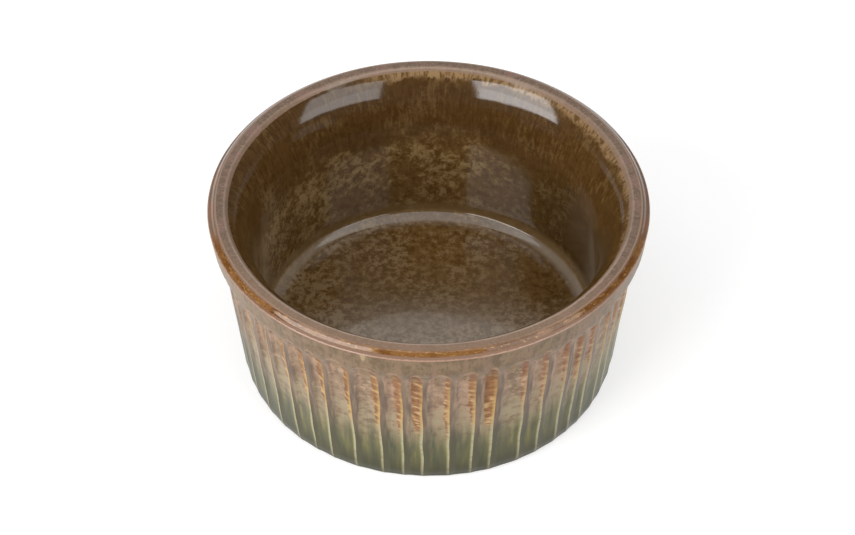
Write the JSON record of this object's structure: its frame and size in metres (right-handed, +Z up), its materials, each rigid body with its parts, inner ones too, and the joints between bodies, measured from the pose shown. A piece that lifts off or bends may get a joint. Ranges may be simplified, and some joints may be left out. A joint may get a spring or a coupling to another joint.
{
  "type": "creme brulee dish",
  "caption": "Round stoneware dish for baking and serving a custard: thick flat lip, plain collar, fluted tapering wall, flat floor and a bare foot ring under glazed sides.",
  "frame": {"origin": "centre of the circle that the foot ring stands on, at the level of the surface under the dish", "axes": "+Z up along the axis of the dish, towards its mouth; -Y towards the side that the picture shows nearest"},
  "size_m": [0.1, 0.1, 0.0465],
  "materials": {
    "stoneware": "bare fired buff stoneware, matt",
    "liner_glaze": "glossy dark brown glaze with olive and rust mottling",
    "rim_glaze": "glossy amber and mauve glaze, pale where it breaks over the edges",
    "wall_glaze_brown": "satin mauve-brown glaze, amber in the flutes",
    "wall_glaze_green": "satin green-grey glaze",
    "base_glaze": "satin brown glaze"
  },
  "bodies": {
    "root": {"stoneware_body": "stoneware", "liner_glaze": "liner_glaze", "rim_glaze": "rim_glaze", "wall_glaze_brown": "wall_glaze_brown", "wall_glaze_green": "wall_glaze_green", "base_glaze": "base_glaze"}
  },
  "joints": []
}
